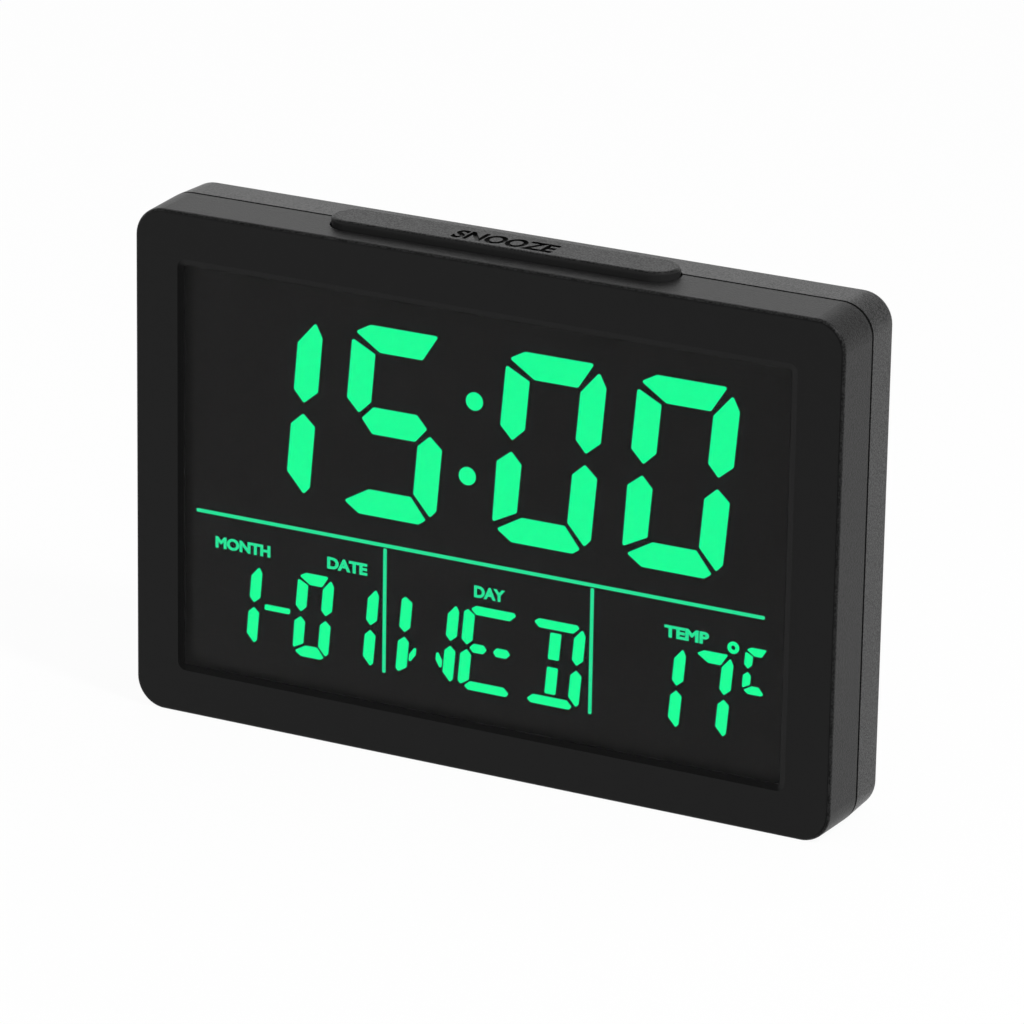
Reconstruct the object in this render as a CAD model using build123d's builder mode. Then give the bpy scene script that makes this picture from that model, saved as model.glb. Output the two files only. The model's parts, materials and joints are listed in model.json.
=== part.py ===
from build123d import *
import os
from math import hypot, radians, tan

# Free-standing digital clock with a backlit liquid crystal display, in millimetres.
# X runs to the viewer's right, Y from the front face to the back, and Z up.
# The origin is on the surface that the clock stands on, at mid width and mid depth.
# A "depth" is measured from the front face towards the back.

# Time digits
DIGIT_HEIGHT = 38.2
DIGIT_WIDTH = 21.2
DIGIT_STROKE = 5.2
DIGIT_GAP = 6.4
COLON_GAP = 11.8
COLON_RADIUS = 1.8
COLON_SPREAD = 15.1
SLANT = 0.085
TIME_INDENT = 3.6
TIME_TAIL = 9.2

# Small digits, weekday letters and the temperature's unit
SMALL_HEIGHT = 17.3
SMALL_WIDTH = 7.95
SMALL_STROKE = 2.3
SMALL_GAP = 1.95
HYPHEN_LENGTH = 5.6
HYPHEN_STROKE = 1.1
HYPHEN_SPACE = 7.95
LETTER_WIDTH = 12.45
LETTER_GAP = 1.1
LETTER_BAR = 1.75
UNIT_HEIGHT = 9.3
UNIT_WIDTH = 5.2
UNIT_STROKE = 1.6
UNIT_RISE = 10.35
DEGREE_RADIUS = 1.2
DEGREE_HOLE = 0.45
DEGREE_SPACE = 0.65
DEGREE_RISE = 0.5
MONTH_INDENT = 5.4
LETTER_INDENT = 2.45
TEMPERATURE_INDENT = 10.65
UNIT_SPACE = 3.05
UNIT_OVERHANG = 0.8
DIVIDER_SPACE = 2.55
RULE_STROKE = 0.68
RULE_LIFT = 0.3

# Margins round the graphics, inside the window
LEFT_MARGIN = 2.55
RIGHT_MARGIN = 6.55
BOTTOM_MARGIN = 6.6
LABEL_BAND = 8.35
TIME_LIFT = 5.22
TOP_MARGIN = 7.75

# Case shells
SIDE_BORDER = 9.35
TOP_BORDER = 9.3
BOTTOM_BORDER = 9.0
CORNER_RADIUS = 6.0
FRONT_EDGE_RADIUS = 0.7
REAR_EDGE_RADIUS = 2.0
DRAFT_ANGLE = 1.8
PARTING_DEPTH = 11.1
PARTING_GROOVE = 0.7
SIDE_WALL = 1.9
REAR_WALL = 1.8
TONGUE_WALL = 0.9
TONGUE_LENGTH = 2.5
TONGUE_CLEARANCE = 0.15
TONGUE_BREAK = 1.0
WINDOW_BEVEL = 1.2
WINDOW_BEVEL_DEPTH = 0.3
WINDOW_LIP = 1.0
WINDOW_CORNER = 1.8

# Display stack, from the front to the back
LENS_RECESS = 0.4
LENS_RIM = 1.0
LENS_OVERLAP = 1.4
LENS_CLEARANCE = 0.2
LENS_FIT = 0.1
POLARISER_THICKNESS = 0.2
GLASS_THICKNESS = 0.7
CELL_GAP = 0.2
LIT_CLEARANCE = 0.03
MASK_THICKNESS = 0.1
DIFFUSER_THICKNESS = 0.3
GUIDE_THICKNESS = 2.0
REFLECTOR_THICKNESS = 0.2
GLASS_OVERLAP = 1.0
CONTACT_LEDGE = 2.6
SEAL_WIDTH = 0.8
FRAME_WALL = 1.0
FRAME_CLEARANCE = 0.2
ZEBRA_WIDTH = 1.8
ZEBRA_INSET = 22.0
SEGMENT_ROUNDING = 0.07
SMALL_ROUNDING = 0.12

# Edge-lit backlight
LED_BOARD_THICKNESS = 0.8
LED_WIDTH = 3.0
LED_HEIGHT = 1.0
LED_COUNT = 6
LED_PITCH = 20.0

# Circuit board and what is soldered to it
BOARD_STANDOFF = 1.4
BOARD_THICKNESS = 1.2
BOARD_INSET = 8.0
BOARD_GAP = 3.0
BOARD_SCREW_INSET = 3.2
SWITCH_SIZE = 6.0
SWITCH_HEIGHT = 3.6
SWITCH_CORNER = 0.6
PLUNGER_RADIUS = 1.7
PLUNGER_PROUD = 1.0
PLUNGER_CLEARANCE = 0.1
PLUNGER_SOCKET = 1.2
CHIP_RADIUS = 6.5
CHIP_HEIGHT = 1.5
CHIP_ROUNDING = 1.2
CHIP_X = 22.0
CHIP_RISE = 32.0
CRYSTAL_RADIUS = 1.0
CRYSTAL_LENGTH = 6.0
CRYSTAL_X = 36.0
RESISTOR_LENGTH = 2.0
RESISTOR_WIDTH = 1.25
RESISTOR_HEIGHT = 0.6
RESISTOR_PITCH = 4.0
RESISTOR_COUNT = 5
RESISTOR_X = -18.0
BUZZER_RADIUS = 6.0
BUZZER_HEIGHT = 6.5
BUZZER_PORT = 1.2
BUZZER_INSET = 15.65
BUZZER_RISE = 31.0
SENSOR_RADIUS = 1.3
SENSOR_LENGTH = 3.5
SENSOR_ROUNDING = 0.8
SENSOR_LEG = 0.5
SENSOR_REACH = 4.0
SENSOR_INSET = 7.65
SENSOR_RISE = 4.0

# Rear keys and the snooze bar
KEY_NAMES = ("mode", "set", "up", "down", "alarm")
KEY_PITCH = 20.0
KEY_LENGTH = 10.0
KEY_WIDTH = 5.5
KEY_RISE = 13.0
KEY_FLANGE = 0.9
KEY_FLANGE_THICKNESS = 1.2
KEY_CLEARANCE = 0.25
KEY_RECESS = 0.2
KEY_TRAVEL = 0.5
KEY_EDGE_RADIUS = 0.5
KEY_POST = 2.2
SNOOZE_LENGTH = 73.0
SNOOZE_WIDTH = 9.4
SNOOZE_FORWARD = 2.7
SNOOZE_PROUD = 2.0
SNOOZE_EDGE_RADIUS = 0.7
SNOOZE_CLEARANCE = 0.3
SNOOZE_FLANGE = 1.0
SNOOZE_FLANGE_THICKNESS = 1.2
SNOOZE_TRAVEL = 0.8
SNOOZE_SHELL = 1.5
SNOOZE_SWITCH_WALL = 0.5

# Batteries, their contacts and the door
CELL_COUNT = 3
CELL_DIAMETER = 10.5
CELL_LENGTH = 44.5
NUB_RADIUS = 1.9
NUB_LENGTH = 1.2
CELL_SPACING = 0.5
CELL_CLEARANCE = 0.2
CONTACT_SPACE = 2.4
CONTACT_SHEET = 0.4
CONTACT_WIDTH = 8.0
CONTACT_BUMP = 3.0
CONTACT_TIP = 1.7
SOLDER_TAB_WIDTH = 2.5
SOLDER_TAB_LENGTH = 2.5
COMPARTMENT_WALL = 1.5
COMPARTMENT_FLOOR = 1.2
COMPARTMENT_GAP = 1.0
COMPARTMENT_RISE = 8.0
DOOR_THICKNESS = 1.5
DOOR_SEAT = 1.1
DOOR_GAP = 0.3
TAB_WIDTH = 6.0
TAB_SPREAD = 30.0
TAB_LENGTH = 1.2
TAB_THICKNESS = 1.0
TAB_ROOT = 2.0
TAB_CLEARANCE = 0.4
TAB_GAP = 0.1
NOTCH_LENGTH = 14.0
NOTCH_WIDTH = 3.0
NOTCH_DEPTH = 0.6
NOTCH_DROP = 3.0
LEAD_RADIUS = 0.6
LEAD_BEND = 2.5
LEAD_RISE = 4.0

# Screws
CASE_SCREW_RADIUS = 1.15
CASE_SCREW_LENGTH = 10.0
CASE_HEAD_RADIUS = 2.0
CASE_HEAD_HEIGHT = 1.5
CASE_BOSS_RADIUS = 2.8
CASE_BOSS_INSET = 3.5
COUNTERBORE_DEPTH = 6.0
COUNTERBORE_CLEARANCE = 0.3
COUNTERBORE_WALL = 1.0
SMALL_SCREW_RADIUS = 0.85
SMALL_SCREW_LENGTH = 3.4
SMALL_HEAD_RADIUS = 1.6
SMALL_HEAD_HEIGHT = 1.0
SMALL_BOSS_RADIUS = 2.2
DRIVE_LENGTH = 0.6
DRIVE_WIDTH = 0.5
DRIVE_DEPTH = 0.6
THREAD_CLEARANCE = 0.05
EAR_THICKNESS = 1.6
EAR_SPREAD = 44.0

# Vents in the rear cover
VENT_WIDTH = 1.2
VENT_LENGTH = 9.0
VENT_PITCH = 2.6
VENT_COUNT = 4

# Layout of the graphics, which sets the size of the window and of the case
time_row = 4 * DIGIT_WIDTH + 2 * DIGIT_GAP + COLON_GAP
date_indent = MONTH_INDENT + SMALL_WIDTH + HYPHEN_SPACE
small_pair = 2 * SMALL_WIDTH + SMALL_GAP
first_divider_indent = date_indent + small_pair + DIVIDER_SPACE
weekday_indent = first_divider_indent + LETTER_INDENT
weekday_row = 3 * LETTER_WIDTH + 2 * LETTER_GAP
second_divider_indent = weekday_indent + weekday_row + DIVIDER_SPACE
temperature_indent = second_divider_indent + TEMPERATURE_INDENT
unit_indent = temperature_indent + small_pair + UNIT_SPACE
rule_length = max(TIME_INDENT + time_row + TIME_TAIL, unit_indent + UNIT_WIDTH - UNIT_OVERHANG)
window_width = LEFT_MARGIN + rule_length + RIGHT_MARGIN
small_band = BOTTOM_MARGIN + SMALL_HEIGHT + LABEL_BAND
time_band = TIME_LIFT + DIGIT_HEIGHT + TOP_MARGIN
window_height = small_band + RULE_STROKE + time_band
case_width = window_width + 2 * SIDE_BORDER
case_height = BOTTOM_BORDER + window_height + TOP_BORDER
window_bottom = BOTTOM_BORDER
window_top = window_bottom + window_height
window_middle = window_bottom + window_height / 2
opening_width = window_width - 2 * WINDOW_BEVEL
opening_height = window_height - 2 * WINDOW_BEVEL
opening_corner = WINDOW_CORNER - WINDOW_BEVEL
case_middle = case_height / 2
rule_left = -window_width / 2 + LEFT_MARGIN
small_bottom = window_bottom + BOTTOM_MARGIN
rule_bottom = window_bottom + small_band
time_bottom = rule_bottom + RULE_STROKE + TIME_LIFT

# Depths of the stack, which set the depth of the case
lens_back = WINDOW_LIP + LENS_RIM
polariser_back = lens_back + POLARISER_THICKNESS
front_glass_back = polariser_back + GLASS_THICKNESS
mask_front = front_glass_back + CELL_GAP
mask_back = mask_front + MASK_THICKNESS
rear_glass_back = mask_back + GLASS_THICKNESS
rear_polariser_back = rear_glass_back + POLARISER_THICKNESS
diffuser_back = rear_polariser_back + DIFFUSER_THICKNESS
guide_back = diffuser_back + GUIDE_THICKNESS
reflector_back = guide_back + REFLECTOR_THICKNESS
frame_back = reflector_back + FRAME_WALL
board_front = frame_back + BOARD_STANDOFF
board_back = board_front + BOARD_THICKNESS
floor_front = frame_back + COMPARTMENT_GAP
floor_back = floor_front + COMPARTMENT_FLOOR
cell_depth = floor_back + CELL_CLEARANCE + CELL_DIAMETER / 2
door_front = cell_depth + CELL_DIAMETER / 2 + CELL_CLEARANCE
case_depth = door_front + DOOR_THICKNESS
rear_wall_front = case_depth - REAR_WALL
rear_start = PARTING_DEPTH + PARTING_GROOVE

# Heights and widths of the inner pieces
glass_width = window_width + 2 * GLASS_OVERLAP
glass_bottom = window_bottom - GLASS_OVERLAP
rear_glass_top = window_top + GLASS_OVERLAP
glass_top = rear_glass_top + CONTACT_LEDGE
guide_bottom = glass_bottom + LED_BOARD_THICKNESS + LED_HEIGHT + FRAME_CLEARANCE
frame_width = glass_width + 2 * (FRAME_CLEARANCE + FRAME_WALL)
frame_bottom = glass_bottom - FRAME_CLEARANCE - FRAME_WALL
frame_top = glass_top + FRAME_CLEARANCE + FRAME_WALL
zebra_middle = glass_top - CONTACT_LEDGE / 2
inner_width = case_width - 2 * SIDE_WALL
inner_height = case_height - 2 * SIDE_WALL
inner_radius = CORNER_RADIUS - SIDE_WALL
tongue_inset = SIDE_WALL + TONGUE_CLEARANCE + TONGUE_WALL
compartment_length = CELL_LENGTH + 2 * CONTACT_SPACE
cell_pitch = CELL_DIAMETER + CELL_SPACING
compartment_height = CELL_COUNT * cell_pitch + CELL_SPACING
compartment_bottom = COMPARTMENT_RISE + COMPARTMENT_WALL
compartment_top = compartment_bottom + compartment_height
compartment_middle = compartment_bottom + compartment_height / 2
board_bottom = compartment_top + COMPARTMENT_WALL + BOARD_GAP
board_top = glass_top
board_middle = (board_bottom + board_top) / 2
board_width = window_width - 2 * BOARD_INSET
key_height = board_bottom + KEY_RISE
plunger_end = board_back + SWITCH_HEIGHT + PLUNGER_PROUD
snooze_switch_depth = board_back + SWITCH_HEIGHT / 2
snooze_depth = snooze_switch_depth - SNOOZE_FORWARD
pocket_growth = LENS_OVERLAP + LENS_CLEARANCE
draft_step = PARTING_DEPTH * tan(radians(DRAFT_ANGLE))
half_depth = case_depth / 2
snooze_y = snooze_depth - half_depth
snooze_switch_y = snooze_switch_depth - half_depth


# Placing

def from_front(depth):
    """Plane at a depth, seen from the front: local x is X, local y is Z, extrudes forwards."""
    return Plane.XZ.offset(half_depth - depth)


def from_behind(depth):
    """Plane at a depth, seen from the back: local x is -X, local y is Z, extrudes backwards."""
    return Plane(origin=(0, depth - half_depth, 0), x_dir=(-1, 0, 0), z_dir=(0, 1, 0))


def keep(piece, name):
    """Label a finished piece and write it to its own file."""
    piece.part.label = name
    export_step(piece.part, f"parts/{name}.step")


def four_corners(half_x, low_z, high_z):
    """The four points at plus and minus half_x, at the two heights."""
    return [(x, z) for x in (-half_x, half_x) for z in (low_z, high_z)]


case_boss_inset = SIDE_WALL + CASE_BOSS_INSET
case_boss_points = four_corners(
    case_width / 2 - case_boss_inset, case_boss_inset, case_height - case_boss_inset
)
ear_x = frame_width / 2 + FRAME_CLEARANCE + SMALL_BOSS_RADIUS
ear_points = four_corners(ear_x, window_middle - EAR_SPREAD / 2, window_middle + EAR_SPREAD / 2)
board_screw_points = four_corners(
    board_width / 2 - BOARD_SCREW_INSET,
    board_bottom + BOARD_SCREW_INSET,
    board_top - CONTACT_LEDGE - BOARD_SCREW_INSET,
)
first_key_x = -(len(KEY_NAMES) - 1) / 2 * KEY_PITCH
key_points = [(first_key_x + index * KEY_PITCH, key_height) for index in range(len(KEY_NAMES))]
first_cell_height = compartment_bottom + CELL_SPACING + CELL_DIAMETER / 2
cell_heights = [first_cell_height + index * cell_pitch for index in range(CELL_COUNT)]

os.makedirs("parts", exist_ok=True)


# Front bezel: the front half of the case, with the window, the lens pocket and the screw bosses
with BuildPart() as front_bezel:
    with BuildSketch(from_front(PARTING_DEPTH)):
        with Locations((0, case_middle)):
            RectangleRounded(
                case_width + 2 * draft_step, case_height + 2 * draft_step, CORNER_RADIUS + draft_step
            )
    extrude(amount=PARTING_DEPTH, taper=DRAFT_ANGLE)
    fillet(front_bezel.faces().sort_by(Axis.Y)[0].edges(), FRONT_EDGE_RADIUS)
    with BuildSketch(from_front(PARTING_DEPTH)):
        with Locations((0, case_middle)):
            RectangleRounded(inner_width, inner_height, inner_radius)
    extrude(amount=PARTING_DEPTH - lens_back, mode=Mode.SUBTRACT)
    with BuildSketch(from_front(lens_back)):
        with Locations((0, window_middle)):
            Rectangle(window_width + 2 * pocket_growth, window_height + 2 * pocket_growth)
    extrude(amount=LENS_RIM, mode=Mode.SUBTRACT)
    with BuildSketch(from_front(WINDOW_LIP)):
        with Locations((0, window_middle)):
            RectangleRounded(opening_width, opening_height, opening_corner)
    extrude(amount=WINDOW_LIP, mode=Mode.SUBTRACT)
    front_face = front_bezel.faces().filter_by(Axis.Y).sort_by(Axis.Y)[0]
    chamfer(front_face.inner_wires()[0].edges(), WINDOW_BEVEL, WINDOW_BEVEL_DEPTH, reference=front_face)
    with BuildSketch(from_front(PARTING_DEPTH)):
        with Locations(*case_boss_points):
            Circle(CASE_BOSS_RADIUS)
    extrude(amount=PARTING_DEPTH - lens_back)
    with BuildSketch(from_front(PARTING_DEPTH)):
        with Locations(*case_boss_points):
            Circle(CASE_SCREW_RADIUS + THREAD_CLEARANCE)
    extrude(amount=PARTING_DEPTH - lens_back, mode=Mode.SUBTRACT)
    with BuildSketch(from_front(frame_back - EAR_THICKNESS)):
        with Locations(*ear_points):
            Circle(SMALL_BOSS_RADIUS)
    extrude(amount=frame_back - EAR_THICKNESS - lens_back)
    with BuildSketch(from_front(frame_back - EAR_THICKNESS)):
        with Locations(*ear_points):
            Circle(SMALL_SCREW_RADIUS + THREAD_CLEARANCE)
    extrude(amount=frame_back - EAR_THICKNESS - lens_back, mode=Mode.SUBTRACT)
    with BuildSketch(Plane.XY.offset(case_height - 2 * SIDE_WALL)):
        with Locations((0, snooze_y)):
            SlotOverall(SNOOZE_LENGTH + 2 * SNOOZE_CLEARANCE, SNOOZE_WIDTH + 2 * SNOOZE_CLEARANCE)
    extrude(amount=4 * SIDE_WALL, mode=Mode.SUBTRACT)
    split(bisect_by=Plane.XY, keep=Keep.TOP)
keep(front_bezel, "front_bezel")


# Rear cover: the rear half of the case, with the tongue, the battery compartment and the key holes
door_bottom = compartment_bottom - DOOR_SEAT + DOOR_GAP
tab_front = door_front - TAB_GAP - TAB_THICKNESS
tab_reach = hypot(case_depth - tab_front, TAB_LENGTH)
slot_front = case_depth - tab_reach - TAB_CLEARANCE
slot_bottom = door_bottom - TAB_LENGTH - TAB_CLEARANCE
counterbore_radius = CASE_HEAD_RADIUS + COUNTERBORE_CLEARANCE
screw_seat = case_depth - COUNTERBORE_DEPTH
buzzer_point = (BUZZER_INSET - board_width / 2, board_bottom + BUZZER_RISE)
sensor_point = (board_width / 2 - SENSOR_INSET, board_bottom + SENSOR_RISE)
flange_growth = 2 * (SNOOZE_CLEARANCE + SNOOZE_FLANGE)
pocket_room = flange_growth + 2 * SNOOZE_CLEARANCE
tab_points = [(-TAB_SPREAD / 2, 0), (TAB_SPREAD / 2, 0)]

with BuildPart() as rear_cover:
    with BuildSketch(from_behind(rear_start)):
        with Locations((0, case_middle)):
            RectangleRounded(
                case_width + 2 * draft_step, case_height + 2 * draft_step, CORNER_RADIUS + draft_step
            )
    extrude(amount=case_depth - rear_start, taper=DRAFT_ANGLE)
    fillet(rear_cover.faces().sort_by(Axis.Y)[-1].edges(), REAR_EDGE_RADIUS)
    with BuildSketch(from_behind(rear_start)):
        with Locations((0, case_middle)):
            RectangleRounded(
                case_width - 2 * tongue_inset, case_height - 2 * tongue_inset, CORNER_RADIUS - tongue_inset
            )
    extrude(amount=rear_wall_front - rear_start, mode=Mode.SUBTRACT)

    # Tongue that locates the two shells, left out at the bosses and under the snooze bar
    with BuildSketch(from_behind(PARTING_DEPTH - TONGUE_LENGTH)):
        with Locations((0, case_middle)):
            RectangleRounded(
                inner_width - 2 * TONGUE_CLEARANCE,
                inner_height - 2 * TONGUE_CLEARANCE,
                inner_radius - TONGUE_CLEARANCE,
            )
            RectangleRounded(
                case_width - 2 * tongue_inset,
                case_height - 2 * tongue_inset,
                CORNER_RADIUS - tongue_inset,
                mode=Mode.SUBTRACT,
            )
        with Locations(*case_boss_points):
            Circle(CASE_BOSS_RADIUS + TONGUE_BREAK, mode=Mode.SUBTRACT)
        with Locations((0, case_height)):
            Rectangle(SNOOZE_LENGTH + 2 * flange_growth, 4 * tongue_inset, mode=Mode.SUBTRACT)
    extrude(amount=TONGUE_LENGTH + PARTING_GROOVE)

    # Battery compartment with the seat of the door, and the slots for the door's tabs
    with BuildSketch(from_behind(floor_front)):
        with Locations((0, compartment_middle)):
            Rectangle(compartment_length + 2 * COMPARTMENT_WALL, compartment_height + 2 * COMPARTMENT_WALL)
    extrude(amount=rear_wall_front - floor_front)
    with BuildSketch(from_behind(floor_back)):
        with Locations((0, compartment_middle)):
            Rectangle(compartment_length, compartment_height)
    extrude(amount=case_depth - floor_back, mode=Mode.SUBTRACT)
    with BuildSketch(from_behind(door_front)):
        with Locations((0, compartment_middle)):
            Rectangle(compartment_length + 2 * DOOR_SEAT, compartment_height + 2 * DOOR_SEAT)
    extrude(amount=DOOR_THICKNESS, mode=Mode.SUBTRACT)
    with BuildSketch(from_behind(slot_front)):
        with Locations((0, slot_bottom)):
            with Locations(*tab_points):
                Rectangle(
                    TAB_WIDTH + 2 * TAB_CLEARANCE,
                    compartment_bottom - slot_bottom,
                    align=(Align.CENTER, Align.MIN),
                )
    extrude(amount=door_front - slot_front, mode=Mode.SUBTRACT)
    with BuildSketch(Plane.YZ.offset(-compartment_length / 2 - COMPARTMENT_WALL)):
        with Locations(*[(cell_depth - half_depth, height) for height in cell_heights]):
            Rectangle(SOLDER_TAB_WIDTH + 2 * CELL_CLEARANCE, CONTACT_SHEET + 2 * CELL_CLEARANCE)
    extrude(amount=compartment_length + 2 * COMPARTMENT_WALL, mode=Mode.SUBTRACT)

    # Bosses and counterbores of the case screws
    with BuildSketch(from_behind(PARTING_DEPTH)):
        with Locations(*case_boss_points):
            Circle(counterbore_radius + COUNTERBORE_WALL)
    extrude(amount=rear_wall_front - PARTING_DEPTH)
    with BuildSketch(from_behind(screw_seat)):
        with Locations(*case_boss_points):
            Circle(counterbore_radius)
    extrude(amount=COUNTERBORE_DEPTH, mode=Mode.SUBTRACT)
    with BuildSketch(from_behind(PARTING_DEPTH)):
        with Locations(*case_boss_points):
            Circle(CASE_SCREW_RADIUS + THREAD_CLEARANCE)
    extrude(amount=screw_seat - PARTING_DEPTH, mode=Mode.SUBTRACT)

    # Key holes, sound slots and air slots
    with BuildSketch(from_front(case_depth)):
        with Locations(*key_points):
            SlotOverall(KEY_LENGTH + 2 * KEY_CLEARANCE, KEY_WIDTH + 2 * KEY_CLEARANCE)
        for vent_point in (buzzer_point, sensor_point):
            with Locations(vent_point):
                with GridLocations(0, VENT_PITCH, 1, VENT_COUNT):
                    SlotOverall(VENT_LENGTH, VENT_WIDTH)
    extrude(amount=REAR_WALL, mode=Mode.SUBTRACT)

    # Opening for the snooze bar, with room for its flange
    with BuildSketch(Plane.XY.offset(case_height - 2 * SIDE_WALL)):
        with Locations((0, snooze_y)):
            SlotOverall(SNOOZE_LENGTH + 2 * SNOOZE_CLEARANCE, SNOOZE_WIDTH + 2 * SNOOZE_CLEARANCE)
    extrude(amount=4 * SIDE_WALL, mode=Mode.SUBTRACT)
    with BuildSketch(Plane.XY.offset(case_height - SIDE_WALL)):
        with Locations((0, snooze_y)):
            SlotOverall(SNOOZE_LENGTH + pocket_room, SNOOZE_WIDTH + pocket_room)
    extrude(amount=-2 * tongue_inset, mode=Mode.SUBTRACT)
    split(bisect_by=Plane.XY, keep=Keep.TOP)
keep(rear_cover, "rear_cover")


# Lens: its rim is glued behind the bezel's lip, and its face fills the opening
with BuildPart() as display_lens:
    with BuildSketch(from_front(lens_back)):
        with Locations((0, window_middle)):
            Rectangle(window_width + 2 * LENS_OVERLAP, window_height + 2 * LENS_OVERLAP)
    extrude(amount=LENS_RIM)
    with BuildSketch(from_front(WINDOW_LIP)):
        with Locations((0, window_middle)):
            RectangleRounded(
                opening_width - 2 * LENS_FIT, opening_height - 2 * LENS_FIT, opening_corner - LENS_FIT
            )
    extrude(amount=WINDOW_LIP - LENS_RECESS)
keep(display_lens, "display_lens")


# Plates of the display, all stacked face to face

def plate(name, width, low, high, front, back):
    """A flat sheet between two heights and two depths, centred across the clock."""
    with BuildPart() as sheet:
        with BuildSketch(from_front(back)):
            with Locations((0, (low + high) / 2)):
                Rectangle(width, high - low)
        extrude(amount=back - front)
    keep(sheet, name)


plate("lcd_front_polariser", glass_width, glass_bottom, rear_glass_top, lens_back, polariser_back)
plate("lcd_front_glass", glass_width, glass_bottom, glass_top, polariser_back, front_glass_back)
plate("lcd_mask", glass_width, glass_bottom, rear_glass_top, mask_front, mask_back)
plate("lcd_rear_glass", glass_width, glass_bottom, rear_glass_top, mask_back, rear_glass_back)
plate("lcd_rear_polariser", glass_width, glass_bottom, rear_glass_top, rear_glass_back, rear_polariser_back)
plate("diffuser_sheet", glass_width, glass_bottom, rear_glass_top, rear_polariser_back, diffuser_back)
plate("light_guide", glass_width, guide_bottom, rear_glass_top, diffuser_back, guide_back)
plate("reflector_sheet", glass_width, glass_bottom, rear_glass_top, guide_back, reflector_back)

# Seal round the gap that holds the liquid crystal
with BuildPart() as lcd_seal:
    with BuildSketch(from_front(mask_front)):
        with Locations((0, (glass_bottom + rear_glass_top) / 2)):
            Rectangle(glass_width, rear_glass_top - glass_bottom)
            Rectangle(
                glass_width - 2 * SEAL_WIDTH,
                rear_glass_top - glass_bottom - 2 * SEAL_WIDTH,
                mode=Mode.SUBTRACT,
            )
    extrude(amount=CELL_GAP)
keep(lcd_seal, "lcd_seal")


# Lit areas of the display

def digit_outlines(w, h, t):
    """Outlines of an upright seven-segment digit of width w, height h and stroke t, by segment letter."""
    mid = h / 2
    tip = 0.54 * t
    return {
        "a": [(0.12 * t, h - 0.33 * t), (0.7 * t, h), (w - 0.56 * t, h), (w - 1.12 * t, h - t),
              (1.2 * t, h - t)],
        "b": [(w - 0.33 * t, h - 0.3 * t), (w, h - 0.85 * t), (w, mid + 0.7 * t), (w - tip, mid + 0.22 * t),
              (w - t, mid + 0.7 * t), (w - t, h - 1.15 * t)],
        "c": [(w - tip, mid - 0.2 * t), (w, mid - 0.65 * t), (w, 0.62 * t), (w - 0.23 * t, 0.35 * t),
              (w - t, 1.15 * t), (w - t, mid - 0.65 * t)],
        "d": [(0.25 * t, 0.42 * t), (1.22 * t, t), (w - 1.1 * t, t), (w - 0.4 * t, 0.2 * t),
              (w - 0.67 * t, 0), (0.9 * t, 0)],
        "e": [(tip, mid - 0.2 * t), (t, mid - 0.65 * t), (t, 1.15 * t), (0.05 * t, 0.65 * t),
              (0, mid - 0.65 * t)],
        "f": [(0, h - 0.62 * t), (t, h - 1.1 * t), (t, mid + 0.7 * t), (tip, mid + 0.23 * t),
              (0, mid + 0.75 * t)],
        "g": [(0.68 * t, mid + 0.05 * t), (1.12 * t, mid + 0.53 * t), (w - 1.15 * t, mid + 0.53 * t),
              (w - 0.68 * t, mid + 0.05 * t), (w - 1.12 * t, mid - 0.5 * t), (1.17 * t, mid - 0.5 * t)],
    }


def letter_outlines(w, h, t, bar):
    """Outlines of an upright fourteen-segment letter, of which a weekday's name uses these."""
    digit = digit_outlines(w, h, t)
    mid = h / 2
    stem_low = w / 2 - t / 2
    stem_high = w / 2 + t / 2
    end = 0.62 * t
    leaf = [(1.15 * t, 0.16 * h), (1.75 * t, 0.28 * h), (1.75 * t, 0.4 * h), (1.15 * t, 0.28 * h)]
    return {
        "b": digit["b"],
        "c": digit["c"],
        "e": [(0, 0.65 * t), (0.3 * t, 0.4 * t), (t, 0.85 * t), (t, mid - 0.65 * t), (0.54 * t, mid - 0.2 * t),
              (0, mid - 0.65 * t)],
        "f": [(0, h - 0.65 * t), (0, mid + 0.65 * t), (0.54 * t, mid + 0.2 * t), (t, mid + 0.65 * t),
              (t, h - 0.85 * t), (0.3 * t, h - 0.4 * t)],
        "top": [(end, h - 0.4 * bar), (end + 0.4 * t, h), (w - end - 0.2 * t, h), (w - end, h - 0.35 * bar),
                (w - end - 0.5 * t, h - bar), (end + 0.5 * t, h - bar)],
        "bottom": [(end, 0.4 * bar), (end + 0.5 * t, bar), (w - end - 0.5 * t, bar), (w - end, 0.4 * bar),
                   (w - end - 0.2 * t, 0), (end + 0.4 * t, 0)],
        "left bar": [(0.8 * t, mid), (1.15 * t, mid + 0.5 * bar), (2.1 * t, mid + 0.5 * bar), (2.4 * t, mid),
                     (2.1 * t, mid - 0.5 * bar), (1.15 * t, mid - 0.5 * bar)],
        "right bar": [(w - 2.4 * t, mid), (w - 2.1 * t, mid + 0.5 * bar), (w - 1.15 * t, mid + 0.5 * bar),
                      (w - 0.8 * t, mid), (w - 1.15 * t, mid - 0.5 * bar), (w - 2.1 * t, mid - 0.5 * bar)],
        "upper stem": [(stem_low, mid + 0.35 * t), (stem_high, mid + 0.35 * t), (stem_high, h - 1.05 * t),
                       (stem_low, h - 1.05 * t)],
        "lower stem": [(stem_low, 1.05 * t), (stem_high, 1.05 * t), (stem_high, mid - 0.35 * t),
                       (stem_low, mid - 0.35 * t)],
        "left leaf": leaf,
        "right leaf": [(w - x, z) for x, z in reversed(leaf)],
    }


def leaning(outline, left, bottom):
    """An upright outline set at its place in the display, with the display's slant."""
    return [(left + x + SLANT * z, bottom + z) for x, z in outline]


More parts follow.
